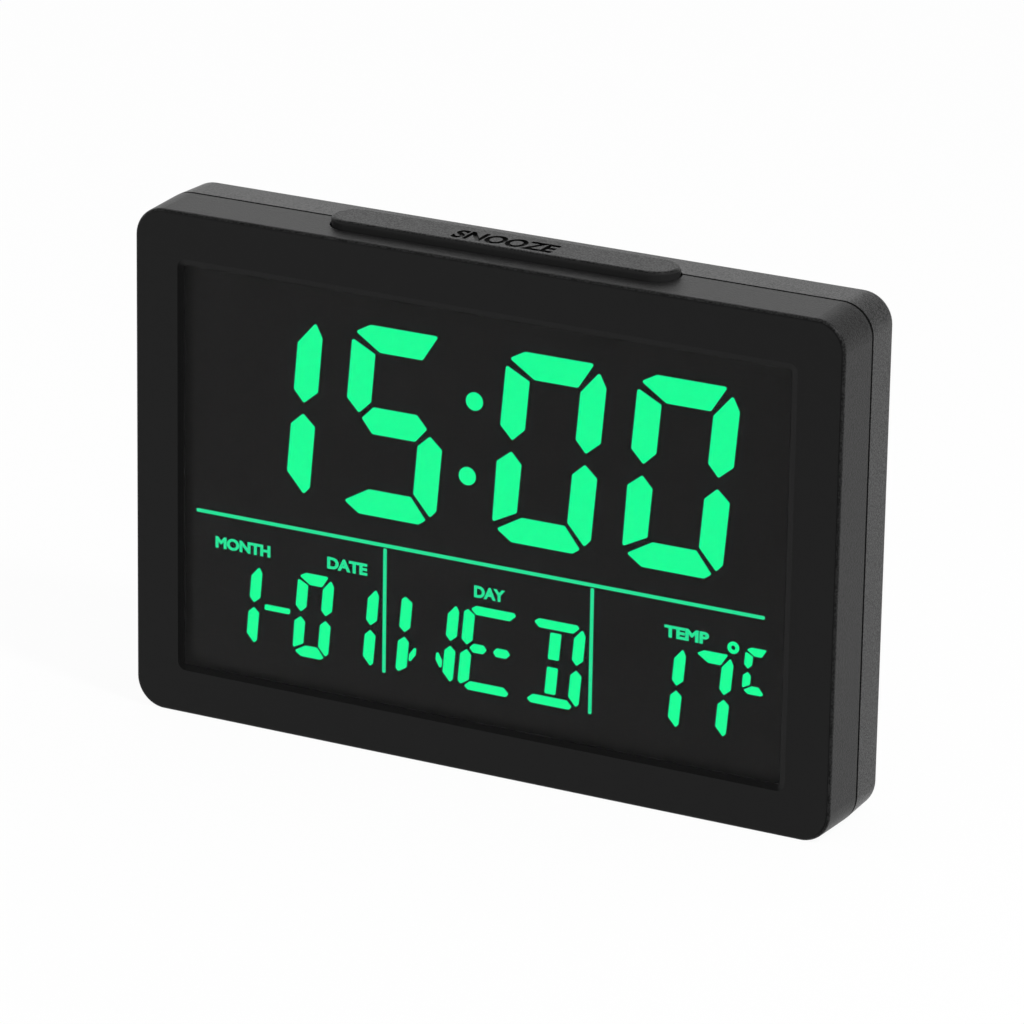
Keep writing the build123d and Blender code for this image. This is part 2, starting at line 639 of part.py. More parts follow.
def lit_group(name, outlines, rounding, dots=(), dot_radius=0, dot_hole=0):
    """One node of separate lit areas on the mask, a hair thinner than the gap that holds the liquid crystal."""
    with BuildPart() as lit:
        with BuildSketch(from_front(mask_front)) as shapes:
            for outline in outlines:
                with BuildLine():
                    Polyline(*outline, close=True)
                make_face()
            fillet(shapes.vertices(), rounding)
            for dot in dots:
                with Locations(dot):
                    Circle(dot_radius)
                    if dot_hole:
                        Circle(dot_hole, mode=Mode.SUBTRACT)
        extrude(amount=CELL_GAP - LIT_CLEARANCE)
    keep(lit, name)


SEVEN = {"0": "abcdef", "1": "bc", "5": "acdfg", "7": "abc", "C": "adef"}
LETTERS = {
    "W": ("f", "e", "left leaf", "right leaf", "b", "c"),
    "E": ("top", "f", "left bar", "right bar", "e", "bottom"),
    "D": ("top", "b", "c", "bottom", "upper stem", "lower stem"),
}


def shown(text, outlines_of, left, bottom, pitch):
    """The leaning outlines of a row of characters."""
    row = []
    for index, (outlines, segments) in enumerate(outlines_of(character) for character in text):
        row += [leaning(outlines[segment], left + index * pitch, bottom) for segment in segments]
    return row


def seven_segment(width, height, stroke):
    """A lookup from a character to its outlines and to the segments that are lit."""
    outlines = digit_outlines(width, height, stroke)
    return lambda character: (outlines, SEVEN[character])


def box_outline(left, low, right, high):
    """An upright rectangle."""
    return [(left, low), (right, low), (right, high), (left, high)]


big = seven_segment(DIGIT_WIDTH, DIGIT_HEIGHT, DIGIT_STROKE)
small = seven_segment(SMALL_WIDTH, SMALL_HEIGHT, SMALL_STROKE)
unit = seven_segment(UNIT_WIDTH, UNIT_HEIGHT, UNIT_STROKE)
letter_set = letter_outlines(LETTER_WIDTH, SMALL_HEIGHT, SMALL_STROKE, LETTER_BAR)
hours_left = rule_left + TIME_INDENT
minutes_left = hours_left + 2 * DIGIT_WIDTH + DIGIT_GAP + COLON_GAP
digit_pitch = DIGIT_WIDTH + DIGIT_GAP
small_pitch = SMALL_WIDTH + SMALL_GAP
colon_x = minutes_left - COLON_GAP / 2
colon_lifts = (-COLON_SPREAD / 2, COLON_SPREAD / 2)
month_left = rule_left + MONTH_INDENT
date_left = rule_left + date_indent
hyphen_left = month_left + SMALL_WIDTH + (HYPHEN_SPACE - HYPHEN_LENGTH) / 2
hyphen_low = (SMALL_HEIGHT - HYPHEN_STROKE) / 2
unit_left = rule_left + unit_indent
unit_bottom = small_bottom + UNIT_RISE
degree_x = unit_left - DEGREE_SPACE - DEGREE_RADIUS
degree_z = unit_bottom + UNIT_HEIGHT + DEGREE_RISE - DEGREE_RADIUS

lit_group(
    "time_segments",
    shown("15", big, hours_left, time_bottom, digit_pitch)
    + shown("00", big, minutes_left, time_bottom, digit_pitch),
    SEGMENT_ROUNDING * DIGIT_STROKE,
    dots=[leaning([(0, DIGIT_HEIGHT / 2 + lift)], colon_x, time_bottom)[0] for lift in colon_lifts],
    dot_radius=COLON_RADIUS,
)
hyphen = box_outline(0, hyphen_low, HYPHEN_LENGTH, hyphen_low + HYPHEN_STROKE)
lit_group(
    "calendar_segments",
    shown("1", small, month_left, small_bottom, small_pitch)
    + [leaning(hyphen, hyphen_left, small_bottom)]
    + shown("01", small, date_left, small_bottom, small_pitch),
    SMALL_ROUNDING * SMALL_STROKE,
)
lit_group(
    "weekday_segments",
    shown(
        "WED",
        lambda letter: (letter_set, LETTERS[letter]),
        rule_left + weekday_indent,
        small_bottom,
        LETTER_WIDTH + LETTER_GAP,
    ),
    SMALL_ROUNDING * SMALL_STROKE,
)

lit_group(
    "temperature_segments",
    shown("17", small, rule_left + temperature_indent, small_bottom, small_pitch)
    + shown("C", unit, unit_left, unit_bottom, UNIT_WIDTH),
    SMALL_ROUNDING * UNIT_STROKE,
    dots=[(degree_x, degree_z)],
    dot_radius=DEGREE_RADIUS,
    dot_hole=DEGREE_HOLE,
)

divider_top = rule_bottom - RULE_LIFT
divider_outlines = [box_outline(rule_left, rule_bottom, rule_left + rule_length, rule_bottom + RULE_STROKE)]
for divider_indent in (first_divider_indent, second_divider_indent):
    divider_left = rule_left + divider_indent - RULE_STROKE / 2
    divider_outlines.append(box_outline(divider_left, small_bottom, divider_left + RULE_STROKE, divider_top))
lit_group("divider_lines", divider_outlines, RULE_STROKE / 4)


# Backlight: a strip of light-emitting diodes shining up into the guide's lower edge
led_depth = (diffuser_back + guide_back) / 2
with BuildPart() as backlight_board:
    with BuildSketch(from_front(guide_back)):
        with Locations((0, glass_bottom)):
            Rectangle(LED_COUNT * LED_PITCH, LED_BOARD_THICKNESS, align=(Align.CENTER, Align.MIN))
    extrude(amount=GUIDE_THICKNESS)
keep(backlight_board, "backlight_board")

with BuildPart() as backlight_leds:
    with BuildSketch(Plane.XY.offset(glass_bottom + LED_BOARD_THICKNESS)):
        with Locations((0, led_depth - half_depth)):
            with GridLocations(LED_PITCH, 0, LED_COUNT, 1):
                Rectangle(LED_WIDTH, GUIDE_THICKNESS - 2 * FRAME_CLEARANCE)
    extrude(amount=LED_HEIGHT)
keep(backlight_leds, "backlight_leds")


# Display frame: the white tray that clamps the display against the bezel and carries the board
frame_middle = (frame_bottom + frame_top) / 2
zebra_length = glass_width - 2 * ZEBRA_INSET
with BuildPart() as display_frame:
    with BuildSketch(from_front(frame_back)):
        with Locations((0, frame_middle)):
            Rectangle(frame_width, frame_top - frame_bottom)
    extrude(amount=frame_back - lens_back)
    with BuildSketch(from_front(frame_back)):
        with Locations(*ear_points):
            Circle(SMALL_BOSS_RADIUS)
        for height in (window_middle - EAR_SPREAD / 2, window_middle + EAR_SPREAD / 2):
            with Locations((0, height)):
                Rectangle(2 * ear_x, 2 * SMALL_BOSS_RADIUS)
    extrude(amount=EAR_THICKNESS)
    with BuildSketch(from_front(reflector_back)):
        with Locations((0, (glass_bottom + glass_top) / 2)):
            Rectangle(glass_width + 2 * FRAME_CLEARANCE, glass_top - glass_bottom + 2 * FRAME_CLEARANCE)
    extrude(amount=reflector_back - lens_back, mode=Mode.SUBTRACT)
    with BuildSketch(from_front(frame_back)):
        with Locations(*ear_points):
            Circle(SMALL_SCREW_RADIUS + THREAD_CLEARANCE)
        with Locations(*case_boss_points):
            Circle(CASE_BOSS_RADIUS + FRAME_CLEARANCE)
        with Locations((0, zebra_middle)):
            Rectangle(zebra_length + 2 * FRAME_CLEARANCE, ZEBRA_WIDTH + 2 * FRAME_CLEARANCE)
    extrude(amount=frame_back - lens_back, mode=Mode.SUBTRACT)
    with BuildSketch(from_front(board_front)):
        with Locations(*board_screw_points):
            Circle(SMALL_BOSS_RADIUS)
    extrude(amount=BOARD_STANDOFF)
    with BuildSketch(from_front(board_front)):
        with Locations(*board_screw_points):
            Circle(SMALL_SCREW_RADIUS + THREAD_CLEARANCE)
    extrude(amount=board_front - reflector_back, mode=Mode.SUBTRACT)
keep(display_frame, "display_frame")

with BuildPart() as zebra_strip:
    with BuildSketch(from_front(board_front)):
        with Locations((0, zebra_middle)):
            Rectangle(zebra_length, ZEBRA_WIDTH)
    extrude(amount=board_front - front_glass_back)
keep(zebra_strip, "zebra_strip")


# Circuit board and the pieces that are soldered to it
with BuildPart() as main_board:
    with BuildSketch(from_front(board_back)):
        with Locations((0, board_middle)):
            Rectangle(board_width, board_top - board_bottom)
        with Locations(*board_screw_points):
            Circle(SMALL_SCREW_RADIUS + THREAD_CLEARANCE, mode=Mode.SUBTRACT)
    extrude(amount=BOARD_THICKNESS)
keep(main_board, "main_board")

with BuildPart() as controller_chip:
    with BuildSketch(from_behind(board_back)):
        with Locations((-CHIP_X, board_bottom + CHIP_RISE)):
            Circle(CHIP_RADIUS)
    extrude(amount=CHIP_HEIGHT)
    fillet(controller_chip.faces().sort_by(Axis.Y)[-1].edges(), CHIP_ROUNDING)
keep(controller_chip, "controller_chip")

with BuildPart() as timing_crystal:
    with BuildSketch(Plane.YZ.offset(CRYSTAL_X - CRYSTAL_LENGTH / 2)):
        with Locations((board_back + CRYSTAL_RADIUS - half_depth, board_bottom + CHIP_RISE)):
            Circle(CRYSTAL_RADIUS)
    extrude(amount=CRYSTAL_LENGTH)
keep(timing_crystal, "timing_crystal")

with BuildPart() as chip_parts:
    with BuildSketch(from_front(board_back + RESISTOR_HEIGHT)):
        with Locations((RESISTOR_X, board_bottom + CHIP_RISE)):
            with GridLocations(RESISTOR_PITCH, RESISTOR_PITCH, RESISTOR_COUNT, 2):
                Rectangle(RESISTOR_LENGTH, RESISTOR_WIDTH)
    extrude(amount=RESISTOR_HEIGHT)
keep(chip_parts, "chip_parts")

with BuildPart() as temperature_sensor:
    with BuildSketch(from_behind(board_back)):
        with Locations((-sensor_point[0], sensor_point[1])):
            with GridLocations(SENSOR_RADIUS, 0, 2, 1):
                Rectangle(SENSOR_LEG, SENSOR_LEG)
    extrude(amount=SENSOR_REACH)
    with BuildSketch(from_behind(board_back + SENSOR_REACH)):
        with Locations((-sensor_point[0], sensor_point[1])):
            Circle(SENSOR_RADIUS)
    extrude(amount=SENSOR_LENGTH)
    fillet(temperature_sensor.faces().sort_by(Axis.Y)[-1].edges(), SENSOR_ROUNDING)
keep(temperature_sensor, "temperature_sensor")

with BuildPart() as buzzer:
    with BuildSketch(from_behind(board_back)):
        with Locations((-buzzer_point[0], buzzer_point[1])):
            Circle(BUZZER_RADIUS)
    extrude(amount=BUZZER_HEIGHT)
    with BuildSketch(from_behind(board_back + BUZZER_HEIGHT / 2)):
        with Locations((-buzzer_point[0], buzzer_point[1])):
            Circle(BUZZER_PORT)
    extrude(amount=BUZZER_HEIGHT / 2, mode=Mode.SUBTRACT)
keep(buzzer, "buzzer")


# Tactile switches with their plungers, the rear keys and the snooze bar
socket_radius = PLUNGER_RADIUS + PLUNGER_CLEARANCE
switch_back = board_back + SWITCH_HEIGHT
key_socket = PLUNGER_SOCKET + KEY_TRAVEL + PLUNGER_CLEARANCE
with BuildPart() as key_switches:
    with BuildSketch(from_front(switch_back)):
        with Locations(*key_points):
            RectangleRounded(SWITCH_SIZE, SWITCH_SIZE, SWITCH_CORNER)
    extrude(amount=SWITCH_HEIGHT)
    with BuildSketch(from_front(switch_back)):
        with Locations(*key_points):
            Circle(socket_radius)
    extrude(amount=key_socket, mode=Mode.SUBTRACT)
keep(key_switches, "key_switches")

flange_back = rear_wall_front
flange_front = flange_back - KEY_FLANGE_THICKNESS
key_growth = 2 * (KEY_CLEARANCE + KEY_FLANGE)
for key_name, key_point in zip(KEY_NAMES, key_points):
    with BuildPart() as plunger:
        with BuildSketch(from_front(plunger_end)):
            with Locations(key_point):
                Circle(PLUNGER_RADIUS)
        extrude(amount=PLUNGER_PROUD + PLUNGER_SOCKET)
    keep(plunger, f"plunger_{key_name}")
    with BuildPart() as key:
        with BuildSketch(from_front(case_depth - KEY_RECESS)):
            with Locations(key_point):
                SlotOverall(KEY_LENGTH, KEY_WIDTH)
        extrude(amount=case_depth - KEY_RECESS - flange_back)
        fillet(key.faces().sort_by(Axis.Y)[-1].edges(), KEY_EDGE_RADIUS)
        with BuildSketch(from_front(flange_back)):
            with Locations(key_point):
                SlotOverall(KEY_LENGTH + key_growth, KEY_WIDTH + key_growth)
        extrude(amount=KEY_FLANGE_THICKNESS)
        with BuildSketch(from_front(flange_front)):
            with Locations(key_point):
                Circle(KEY_POST)
        extrude(amount=flange_front - plunger_end)
    keep(key, f"key_{key_name}")

snooze_plunger_top = board_top + PLUNGER_PROUD
snooze_socket = PLUNGER_SOCKET + SNOOZE_TRAVEL + PLUNGER_CLEARANCE
snooze_plunger_radius = SWITCH_HEIGHT / 2 - SNOOZE_SWITCH_WALL - PLUNGER_CLEARANCE
snooze_post_radius = SWITCH_HEIGHT / 2 - PLUNGER_CLEARANCE
with BuildPart() as snooze_switch:
    with BuildSketch(Plane.XY.offset(board_top)):
        with Locations((0, snooze_switch_y)):
            Rectangle(SWITCH_SIZE, SWITCH_HEIGHT)
    extrude(amount=-SWITCH_SIZE)
    with BuildSketch(Plane.XY.offset(board_top)):
        with Locations((0, snooze_switch_y)):
            Circle(snooze_plunger_radius + PLUNGER_CLEARANCE)
    extrude(amount=-snooze_socket, mode=Mode.SUBTRACT)
keep(snooze_switch, "snooze_switch")

with BuildPart() as snooze_plunger:
    with BuildSketch(Plane.XY.offset(snooze_plunger_top)):
        with Locations((0, snooze_switch_y)):
            Circle(snooze_plunger_radius)
    extrude(amount=-PLUNGER_PROUD - PLUNGER_SOCKET)
keep(snooze_plunger, "snooze_plunger")

snooze_seat = case_height - SIDE_WALL
snooze_top = case_height + SNOOZE_PROUD
snooze_flange_bottom = snooze_seat - SNOOZE_FLANGE_THICKNESS
snooze_ceiling = snooze_top - SNOOZE_SHELL
with BuildPart() as snooze_button:
    with BuildSketch(Plane.XY.offset(snooze_seat)):
        with Locations((0, snooze_y)):
            SlotOverall(SNOOZE_LENGTH, SNOOZE_WIDTH)
    extrude(amount=snooze_top - snooze_seat)
    fillet(snooze_button.faces().sort_by(Axis.Z)[-1].edges(), SNOOZE_EDGE_RADIUS)
    with BuildSketch(Plane.XY.offset(snooze_flange_bottom)):
        with Locations((0, snooze_y)):
            SlotOverall(SNOOZE_LENGTH + flange_growth, SNOOZE_WIDTH + flange_growth)
    extrude(amount=SNOOZE_FLANGE_THICKNESS)
    with BuildSketch(Plane.XY.offset(snooze_flange_bottom)):
        with Locations((0, snooze_y)):
            SlotOverall(SNOOZE_LENGTH - 2 * SNOOZE_SHELL, SNOOZE_WIDTH - 2 * SNOOZE_SHELL)
    extrude(amount=snooze_ceiling - snooze_flange_bottom, mode=Mode.SUBTRACT)
    with BuildSketch(Plane.XY.offset(snooze_plunger_top)):
        with Locations((0, snooze_switch_y)):
            Circle(snooze_post_radius)
    extrude(amount=snooze_ceiling - snooze_plunger_top)
keep(snooze_button, "snooze_button")


# Batteries: they lie across the clock, every second one turned round
half_cell = CELL_LENGTH / 2
cell_y = cell_depth - half_depth
for index, height in enumerate(cell_heights):
    turn = 1 if index % 2 == 0 else -1
    with BuildPart() as cell:
        with BuildSketch(Plane.YZ.offset(-turn * half_cell)):
            with Locations((cell_y, height)):
                Circle(CELL_DIAMETER / 2)
        extrude(amount=turn * (CELL_LENGTH - NUB_LENGTH))
        with BuildSketch(Plane.YZ.offset(turn * half_cell)):
            with Locations((cell_y, height)):
                Circle(NUB_RADIUS)
        extrude(amount=-turn * NUB_LENGTH)
    keep(cell, f"battery_cell_{index + 1}")

half_compartment = compartment_length / 2
bump_height = CONTACT_SPACE - CONTACT_SHEET


def contact(name, side, heights, solder_tab):
    """Sprung contact sheet on an end wall, side 1 or -1, with a bump for each cell that it touches."""
    wall = side * half_compartment
    with BuildPart() as sheet:
        with BuildSketch(Plane.YZ.offset(wall)):
            with Locations((cell_y, (heights[0] + heights[-1]) / 2)):
                Rectangle(CONTACT_WIDTH, heights[-1] - heights[0] + CONTACT_WIDTH)
        extrude(amount=-side * CONTACT_SHEET)
        for height in heights:
            with BuildSketch(Plane.YZ.offset(wall - side * CONTACT_SHEET)):
                with Locations((cell_y, height)):
                    Circle(CONTACT_BUMP)
            with BuildSketch(Plane.YZ.offset(wall - side * (CONTACT_SHEET + bump_height))):
                with Locations((cell_y, height)):
                    Circle(CONTACT_TIP)
            loft(ruled=True)
        if solder_tab:
            with BuildSketch(Plane.YZ.offset(wall)):
                with Locations((cell_y, heights[0])):
                    Rectangle(SOLDER_TAB_WIDTH, CONTACT_SHEET)
            extrude(amount=side * (COMPARTMENT_WALL + SOLDER_TAB_LENGTH))
    keep(sheet, name)


contact("battery_positive_contact", 1, cell_heights[:1], True)
contact("battery_link_left", -1, cell_heights[:2], False)
contact("battery_link_right", 1, cell_heights[1:], False)
contact("battery_negative_contact", -1, cell_heights[-1:], True)

lead_x = half_compartment + COMPARTMENT_WALL + SOLDER_TAB_LENGTH / 2
lead_turn = board_bottom + LEAD_RISE
for lead_name, side, cell_height in (("red", 1, cell_heights[0]), ("black", -1, cell_heights[-1])):
    with BuildPart() as lead:
        with BuildLine() as route:
            FilletPolyline(
                (side * lead_x, cell_y, cell_height + CONTACT_SHEET / 2),
                (side * lead_x, cell_y, lead_turn),
                (side * lead_x, board_back - half_depth, lead_turn),
                radius=LEAD_BEND,
            )
        with BuildSketch(Plane(origin=route.line @ 0, z_dir=route.line % 0)):
            Circle(LEAD_RADIUS)
        sweep(path=route.line)
    keep(lead, f"battery_lead_{lead_name}")


# Battery door: it tilts on the outer corner of its lower edge, with two tabs behind the cover's lip
door_width = compartment_length + 2 * (DOOR_SEAT - DOOR_GAP)
door_height = compartment_height + 2 * (DOOR_SEAT - DOOR_GAP)
with BuildPart() as battery_door:
    with BuildSketch(from_front(case_depth)):
        with Locations((0, compartment_middle)):
            Rectangle(door_width, door_height)
    extrude(amount=DOOR_THICKNESS)
    with BuildSketch(from_front(door_front)):
        with Locations((0, door_bottom)):
            with Locations(*tab_points):
                Rectangle(TAB_WIDTH, TAB_ROOT, align=(Align.CENTER, Align.MIN))
    extrude(amount=TAB_GAP + TAB_THICKNESS)
    with BuildSketch(from_front(tab_front + TAB_THICKNESS)):
        with Locations((0, door_bottom)):
            with Locations(*tab_points):
                Rectangle(TAB_WIDTH, TAB_LENGTH, align=(Align.CENTER, Align.MAX))
    extrude(amount=TAB_THICKNESS)
    with BuildSketch(from_front(case_depth)):
        with Locations((0, door_bottom + door_height - NOTCH_DROP)):
            SlotOverall(NOTCH_LENGTH, NOTCH_WIDTH)
    extrude(amount=NOTCH_DEPTH, mode=Mode.SUBTRACT)
keep(battery_door, "battery_door")


# Screws, each kind a group of separate solids

def screws(name, points, seat, radius, length, head_radius, head_height):
    """Pan-head screws driven from the back, with their heads on the seat's depth."""
    with BuildPart() as group:
        with BuildSketch(from_front(seat)):
            with Locations(*points):
                Circle(radius)
        extrude(amount=length)
        with BuildSketch(from_front(seat + head_height)):
            with Locations(*points):
                Circle(head_radius)
        extrude(amount=head_height)
        with BuildSketch(from_front(seat + head_height)):
            with Locations(*points):
                Rectangle(2 * DRIVE_LENGTH * head_radius, DRIVE_WIDTH)
                Rectangle(DRIVE_WIDTH, 2 * DRIVE_LENGTH * head_radius)
        extrude(amount=DRIVE_DEPTH, mode=Mode.SUBTRACT)
    keep(group, name)


screws("case_screws", case_boss_points, screw_seat, CASE_SCREW_RADIUS, CASE_SCREW_LENGTH,
       CASE_HEAD_RADIUS, CASE_HEAD_HEIGHT)
screws("display_frame_screws", ear_points, frame_back, SMALL_SCREW_RADIUS, SMALL_SCREW_LENGTH,
       SMALL_HEAD_RADIUS, SMALL_HEAD_HEIGHT)
screws("board_screws", board_screw_points, board_back, SMALL_SCREW_RADIUS, SMALL_SCREW_LENGTH,
       SMALL_HEAD_RADIUS, SMALL_HEAD_HEIGHT)
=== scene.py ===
# %% [markdown]
# # A digital clock with a lit green display
# The clock's solids come ready made, at their real size, with the origin on the table under the clock.
# This lesson gives every solid its finish, adds the words that are printed or engraved on it, and puts it
# in a white studio. Lengths are in metres, so sizes of the clock are written in millimetres times MM.

import json
import math

import bmesh
import bpy
from mathutils import Matrix, Vector


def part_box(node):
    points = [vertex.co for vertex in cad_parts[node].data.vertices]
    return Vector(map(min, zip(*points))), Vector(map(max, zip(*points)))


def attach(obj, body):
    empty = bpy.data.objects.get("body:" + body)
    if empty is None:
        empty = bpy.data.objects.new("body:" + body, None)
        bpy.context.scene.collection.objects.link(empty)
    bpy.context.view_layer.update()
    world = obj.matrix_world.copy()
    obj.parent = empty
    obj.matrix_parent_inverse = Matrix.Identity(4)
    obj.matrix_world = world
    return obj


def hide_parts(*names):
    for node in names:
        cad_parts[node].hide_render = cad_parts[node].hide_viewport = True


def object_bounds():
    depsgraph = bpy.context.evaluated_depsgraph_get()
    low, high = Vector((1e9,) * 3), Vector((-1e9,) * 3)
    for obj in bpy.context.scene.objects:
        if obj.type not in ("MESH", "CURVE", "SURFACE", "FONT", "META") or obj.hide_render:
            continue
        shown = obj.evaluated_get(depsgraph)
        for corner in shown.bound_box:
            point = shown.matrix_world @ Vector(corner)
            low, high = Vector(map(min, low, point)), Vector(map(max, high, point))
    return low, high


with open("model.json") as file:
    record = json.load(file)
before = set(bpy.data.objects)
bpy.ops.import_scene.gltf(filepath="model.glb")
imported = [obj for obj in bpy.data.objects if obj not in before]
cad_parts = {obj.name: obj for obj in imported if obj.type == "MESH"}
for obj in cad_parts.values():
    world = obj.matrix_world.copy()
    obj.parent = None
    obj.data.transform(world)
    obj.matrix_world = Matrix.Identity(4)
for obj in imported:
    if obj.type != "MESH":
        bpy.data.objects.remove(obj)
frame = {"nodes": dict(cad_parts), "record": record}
cad_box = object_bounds()
nodes = frame["nodes"]
MM = 0.001


def in_mm(box):
    """The two corners of a box in millimetres, rounded for printing."""
    return [[round(value / MM, 1) for value in corner] for corner in box]


print("solids:", len(nodes), "box in mm:", in_mm(cad_box))

# %% [markdown]
# ## The camera
# The clock was photographed with a long lens from the right and a little above, so that the front, the top
# and the right side show. A camera can be aimed with a constraint, but here its axes are worked out from two
# angles and a roll, and its place follows from the point that it looks at. That way each number means one
# thing.

# %% Camera
VIEW_AZIMUTH = math.radians(27.25)
VIEW_ELEVATION = math.radians(19.23)
VIEW_ROLL = math.radians(0.96)
VIEW_DISTANCE = 1.23
AIM_RIGHT = 7.4 * MM
AIM_UP = 50.1 * MM
FOCAL_LENGTH = 225.3


def hold(data, name):
    """An object in the scene that holds a camera, a mesh, a text or a lamp."""
    holder = bpy.data.objects.new(name, data)
    bpy.context.scene.collection.objects.link(holder)
    return holder


level = math.cos(VIEW_ELEVATION)
towards_camera = Vector((
    math.sin(VIEW_AZIMUTH) * level,
    -math.cos(VIEW_AZIMUTH) * level,
    math.sin(VIEW_ELEVATION),
))
level_right = Vector((math.cos(VIEW_AZIMUTH), math.sin(VIEW_AZIMUTH), 0))
level_up = towards_camera.cross(level_right)
right = math.cos(VIEW_ROLL) * level_right + math.sin(VIEW_ROLL) * level_up
up = math.cos(VIEW_ROLL) * level_up - math.sin(VIEW_ROLL) * level_right
front_face = Vector((0, cad_box[0][1], 0))
eye = front_face + AIM_RIGHT * right + AIM_UP * up + VIEW_DISTANCE * towards_camera

camera = hold(bpy.data.cameras.new("camera"), "camera")
camera.data.lens = FOCAL_LENGTH
axes = Matrix((right, up, towards_camera)).transposed().to_4x4()
camera.matrix_world = Matrix.Translation(eye) @ axes
bpy.context.scene.camera = camera
bpy.context.scene.view_settings.view_transform = "Standard"
print("camera at", [round(value, 3) for value in eye])

# %% [markdown]
# ## Writing shader maths as Python
# A material is a graph of nodes. Built node by node it takes many lines that hide what is meant, so one small
# class wraps a socket: arithmetic on it adds Math nodes, blend adds a Mix node for two colours, spread adds a
# Map Range node, and its node method adds any other node. A Mix node has sockets for several kinds of data,
# so those for colours are picked by their numbers.

# %% Shader helper
MIX_FACTOR = 0
MIX_LOW = 6
MIX_HIGH = 7
MIX_RESULT = 2


class Shade:
    """One socket of a material's node tree. Arithmetic on it adds Math nodes."""

    def __init__(self, tree, socket=None):
        self.tree = tree
        self.socket = socket

    def node(self, kind, settings=None, sockets=None, output=0):
        """Add a node, with its settings first, then its sockets' values or links. Gives back an output."""
        made = self.tree.nodes.new(kind)
        for name, value in (settings or {}).items():
            setattr(made, name, value)
        for name, value in (sockets or {}).items():
            if isinstance(value, Shade):
                self.tree.links.new(value.socket, made.inputs[name])
            else:
                made.inputs[name].default_value = value
        return Shade(self.tree, made.outputs[output]) if made.outputs else None

    def blend(self, low, high):
        """A colour that goes from low to high as this socket goes from 0 to 1."""
        sockets = {MIX_FACTOR: self, MIX_LOW: low, MIX_HIGH: high}
        return self.node("ShaderNodeMix", {"data_type": "RGBA"}, sockets, MIX_RESULT)

    def spread(self, low, high):
        """This socket's values from low to high, stretched over 0 to 1, softly at both ends."""
        sockets = {"Value": self, "From Min": low, "From Max": high}
        return self.node("ShaderNodeMapRange", {"interpolation_type": "SMOOTHSTEP"}, sockets)

    def maths(self, operation, first, second=0.0):
        return self.node("ShaderNodeMath", {"operation": operation}, {0: first, 1: second})

    def __abs__(self):
        return self.maths("ABSOLUTE", self)

    def __add__(self, other):
        return self.maths("ADD", self, other)

    def __radd__(self, other):
        return self.maths("ADD", other, self)

    def __sub__(self, other):
        return self.maths("SUBTRACT", self, other)

    def __rsub__(self, other):
        return self.maths("SUBTRACT", other, self)

    def __mul__(self, other):
        return self.maths("MULTIPLY", self, other)

    def __rmul__(self, other):
        return self.maths("MULTIPLY", other, self)


print("shader helper ready")

# %% [markdown]
# ## Starting and ending a material
# Every finish below starts from an empty node tree and ends at the material's output. Plastic, print and
# plating are never quite even, so most finishes also use a noise. The unevenness could be painted as a
# picture, but a noise on Object coordinates needs none, has no seams and keeps its real size on each piece.

# %% Material helpers
materials = {}


def rgb(red, green, blue):
    return (red, green, blue, 1)


def grey(tone):
    return rgb(tone, tone, tone)


def new_material(name):
    """An empty material, kept under its name, and the start of its node tree."""
    material = bpy.data.materials.new(name)
    material.use_nodes = True
    material.node_tree.nodes.clear()
    materials[name] = material
    return Shade(material.node_tree)


def end_material(shade, surface):
    """Connect the finished surface to the material's output."""
    shade.node("ShaderNodeOutputMaterial", {}, {"Surface": surface})


def noise(shade, size, detail=2.0, roughness=0.5):
    """Cloudy noise from 0 to 1 whose lumps are about size metres across, fixed to the piece."""
    place = shade.node("ShaderNodeTexCoord", output="Object")
    return shade.node("ShaderNodeTexNoise", {}, {
        "Vector": place, "Scale": 1 / size, "Detail": detail, "Roughness": roughness,
    })


print("material helpers ready")

# %% [markdown]
# ## Black case plastic
# The case is moulded in black. The mould's sides were spark eroded, which leaves a fine sparkling grain on
# the top, the sides and the back, while the front face is a smooth satin. One material can hold both: the
# direction that the surface faces decides which of the two shows, and the change lies on the rounded edge of
# the front. The bar on top is grained where it faces up and smooth on its walls, and a colour lighter than
# the smooth black of the front is painted light on those walls. The grain is a bump, a speckle of the colour
# and a speckle of a clear coat, all from the same noise, so that they agree. The colour's speckle is painted
# shade in the pits of the grain and painted glints on its lumps. The coat mirrors little when it is seen
# squarely and much when it is seen at a slant, which is why the top looks lighter than the front.

# %% Case plastic
GRAIN_SIZE = 0.35 * MM
GRAIN_HEIGHT = 0.1 * MM
GRAIN_DETAIL = 2.0
GRAIN_CRISPNESS = 0.6
SPECKLE_LOW = 0.42
SPECKLE_HIGH = 0.58
# Both grain colours are painted light: shade in the pits of the grain and glints on its lumps.
GRAIN_SHADOW = grey(0.006)
GRAIN_GLINT = grey(0.02)
SMOOTH_BLACK = grey(0.006)
# The bar's walls are coloured lighter than the smooth black of the front: painted light on the walls.
BAR_WALL_PAINTED_LIGHT = grey(0.02)
SMOOTH_ROUGHNESS = 0.22
GRAIN_ROUGHNESS = 0.36
SPECKLE_ROUGHNESS = 0.14
COAT_LEAST = 0.05
COAT_SPECKLE = 0.9
COAT_BEND = 1.25
COAT_ROUGHNESS = 0.45
CASE_PLASTICS = {
    "case_black": {"gloss": 0.135, "sparkle": 0.38, "axis": "Y", "smooth_end": -0.985, "grain_start": -0.88},
    "cover_black": {"gloss": 0.12, "sparkle": 1.05},
    "bar_black": {
        "gloss": 0.06, "sparkle": 0.85, "axis": "Z", "smooth_end": 0.5, "grain_start": 0.8,
        "smooth_black": BAR_WALL_PAINTED_LIGHT,
    },
    "key_black": {"gloss": 0.12, "sparkle": 0.5},
}


